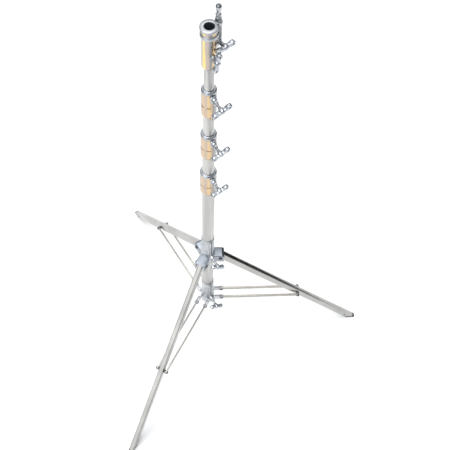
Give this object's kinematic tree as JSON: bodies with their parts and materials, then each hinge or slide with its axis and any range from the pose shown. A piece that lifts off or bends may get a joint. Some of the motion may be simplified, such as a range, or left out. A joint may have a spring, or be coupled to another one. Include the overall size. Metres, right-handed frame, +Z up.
{
  "type": "lighting stand",
  "caption": "Telescoping steel mast with tee-screw clamps on a folding tripod base, with a spigot socket and a tilting stud at the top.",
  "frame": {"origin": "the point on the floor under the mast's axis", "axes": "+Z up along the mast, +X along leg 1; leg 2 at 120 degrees and leg 3 at 240 degrees, anticlockwise from above"},
  "size_m": [1.0299, 1.1892, 1.93],
  "materials": {
    "zinc_tube": "zinc-plated steel tube, satin with soft streaks",
    "zinc_leg": "zinc-plated rectangular tube and flat bar, satin",
    "cast_zinc": "bright plated casting",
    "blue_zinc": "folded sheet with blue passivated zinc plating",
    "gold_collar": "bright plated casting with an amber to peach cast, as yellow passivated zinc has",
    "chrome_handle": "chromed casting",
    "plated_screw": "bright plated steel screw",
    "dark_bolt": "dark plated steel",
    "dark_stud": "turned steel, dark plated",
    "black_rubber": "moulded rubber",
    "white_nylon": "natural nylon",
    "brass_pad": "turned brass"
  },
  "bodies": {
    "base_mast": {"base_tube": "zinc_tube", "base_tube_plug": "black_rubber", "base_clamp_collar": "gold_collar", "base_clamp_bush": "white_nylon", "base_clamp_pad": "brass_pad"},
    "base_clamp": {"base_clamp_screw": "plated_screw", "base_clamp_handle": "chrome_handle"},
    "riser_1": {"riser_1_tube": "zinc_tube", "riser_1_plug": "white_nylon", "riser_1_clamp_collar": "gold_collar", "riser_1_clamp_bush": "white_nylon", "riser_1_clamp_pad": "brass_pad"},
    "riser_1_clamp": {"riser_1_clamp_screw": "plated_screw", "riser_1_clamp_handle": "chrome_handle"},
    "riser_2": {"riser_2_tube": "zinc_tube", "riser_2_plug": "white_nylon", "riser_2_clamp_collar": "gold_collar", "riser_2_clamp_bush": "white_nylon", "riser_2_clamp_pad": "brass_pad"},
    "riser_2_clamp": {"riser_2_clamp_screw": "plated_screw", "riser_2_clamp_handle": "chrome_handle"},
    "riser_3": {"riser_3_tube": "zinc_tube", "riser_3_plug": "white_nylon", "socket_head": "cast_zinc"},
    "socket_clamp": {"socket_screw": "plated_screw", "socket_handle": "chrome_handle"},
    "stud_arm": {"stud_arm": "cast_zinc", "stud": "dark_stud"},
    "stud_arm_clamp": {"stud_arm_screw": "plated_screw", "stud_arm_handle": "chrome_handle"},
    "leg_collar": {"leg_collar": "cast_zinc", "leg_brackets": "blue_zinc", "leg_hinge_bolts": "dark_bolt", "leg_collar_pad": "brass_pad"},
    "leg_collar_clamp": {"leg_collar_screw": "plated_screw", "leg_collar_handle": "chrome_handle"},
    "brace_collar": {"brace_collar": "cast_zinc", "brace_lugs": "cast_zinc", "brace_collar_bolts": "dark_bolt", "brace_collar_pad": "brass_pad"},
    "brace_collar_clamp": {"brace_collar_screw": "plated_screw", "brace_collar_handle": "chrome_handle"},
    "leg_1": {"leg_1_tube": "zinc_leg", "leg_1_foot": "black_rubber", "leg_1_brace_spacer": "dark_bolt"},
    "brace_1": {"brace_1_bars": "zinc_leg", "brace_1_bolts": "dark_bolt"},
    "leg_2": {"leg_2_tube": "zinc_leg", "leg_2_foot": "black_rubber", "leg_2_brace_spacer": "dark_bolt"},
    "brace_2": {"brace_2_bars": "zinc_leg", "brace_2_bolts": "dark_bolt"},
    "leg_3": {"leg_3_tube": "zinc_leg", "leg_3_foot": "black_rubber", "leg_3_brace_spacer": "dark_bolt"},
    "brace_3": {"brace_3_bars": "zinc_leg", "brace_3_bolts": "dark_bolt"}
  },
  "joints": [
    {"name": "leg_collar_slide", "type": "slide", "parent": "base_mast", "child": "leg_collar", "axis": [0, 0, 1], "range_m": [0, 0.3]},
    {"name": "brace_collar_slide", "type": "slide", "parent": "base_mast", "child": "brace_collar", "axis": [0, 0, 1], "range_m": [0, 0.493]},
    {"name": "leg_1_hinge", "type": "hinge", "parent": "leg_collar", "child": "leg_1", "pos_m": [0.05, 0, 0.632], "axis": [0, 1, 0], "range_deg": [0, 44.2]},
    {"name": "brace_1_hinge", "type": "hinge", "parent": "brace_collar", "child": "brace_1", "pos_m": [0.06, 0, 0.28087], "axis": [0, 1, 0], "range_deg": [0, 92]},
    {"name": "leg_2_hinge", "type": "hinge", "parent": "leg_collar", "child": "leg_2", "pos_m": [-0.025, 0.0433, 0.632], "axis": [-0.866, -0.5, 0], "range_deg": [0, 44.2]},
    {"name": "brace_2_hinge", "type": "hinge", "parent": "brace_collar", "child": "brace_2", "pos_m": [-0.03, 0.05196, 0.28087], "axis": [-0.866, -0.5, 0], "range_deg": [0, 92]},
    {"name": "leg_3_hinge", "type": "hinge", "parent": "leg_collar", "child": "leg_3", "pos_m": [-0.025, -0.0433, 0.632], "axis": [0.866, -0.5, 0], "range_deg": [0, 44.2]},
    {"name": "brace_3_hinge", "type": "hinge", "parent": "brace_collar", "child": "brace_3", "pos_m": [-0.03, -0.05196, 0.28087], "axis": [0.866, -0.5, 0], "range_deg": [0, 92]},
    {"name": "riser_1_slide", "type": "slide", "parent": "base_mast", "child": "riser_1", "axis": [0, 0, 1], "range_m": [0, 0.8]},
    {"name": "riser_2_slide", "type": "slide", "parent": "riser_1", "child": "riser_2", "axis": [0, 0, 1], "range_m": [0, 0.8]},
    {"name": "riser_3_slide", "type": "slide", "parent": "riser_2", "child": "riser_3", "axis": [0, 0, 1], "range_m": [0, 0.8]},
    {"name": "base_clamp_turn", "type": "hinge", "parent": "base_mast", "child": "base_clamp", "pos_m": [0, 0, 1.19], "axis": [0.4695, -0.8829, 0], "range_deg": [0, 360]},
    {"name": "riser_1_clamp_turn", "type": "hinge", "parent": "riser_1", "child": "riser_1_clamp", "pos_m": [0, 0, 1.398], "axis": [0.4695, -0.8829, 0], "range_deg": [0, 360]},
    {"name": "riser_2_clamp_turn", "type": "hinge", "parent": "riser_2", "child": "riser_2_clamp", "pos_m": [0, 0, 1.606], "axis": [0.4695, -0.8829, 0], "range_deg": [0, 360]},
    {"name": "socket_clamp_turn", "type": "hinge", "parent": "riser_3", "child": "socket_clamp", "pos_m": [0, 0, 1.775], "axis": [0.4695, -0.8829, 0], "range_deg": [0, 360]},
    {"name": "leg_collar_clamp_turn", "type": "hinge", "parent": "leg_collar", "child": "leg_collar_clamp", "pos_m": [0, 0, 0.663], "axis": [0.4384, -0.8988, 0], "range_deg": [0, 360]},
    {"name": "brace_collar_clamp_turn", "type": "hinge", "parent": "brace_collar", "child": "brace_collar_clamp", "pos_m": [0, 0, 0.29988], "axis": [0.4384, -0.8988, 0], "range_deg": [0, 360]},
    {"name": "stud_arm_tilt", "type": "hinge", "parent": "riser_3", "child": "stud_arm", "pos_m": [0.02409, 0.01951, 1.8], "axis": [-0.6293, 0.7771, 0], "range_deg": [0, 90]},
    {"name": "stud_arm_clamp_turn", "type": "hinge", "parent": "riser_3", "child": "stud_arm_clamp", "pos_m": [0.02409, 0.01951, 1.8], "axis": [0.6293, -0.7771, 0], "range_deg": [0, 360]}
  ],
  "couplings": [
    {"joint": "brace_collar_slide", "follows": "leg_collar_slide", "ratio": 1.6396},
    {"joint": "leg_1_hinge", "follows": "leg_collar_slide", "rad_per_m": 2.559},
    {"joint": "brace_1_hinge", "follows": "leg_collar_slide", "rad_per_m": 5.3373},
    {"joint": "leg_2_hinge", "follows": "leg_collar_slide", "rad_per_m": 2.559},
    {"joint": "brace_2_hinge", "follows": "leg_collar_slide", "rad_per_m": 5.3373},
    {"joint": "leg_3_hinge", "follows": "leg_collar_slide", "rad_per_m": 2.559},
    {"joint": "brace_3_hinge", "follows": "leg_collar_slide", "rad_per_m": 5.3373}
  ]
}
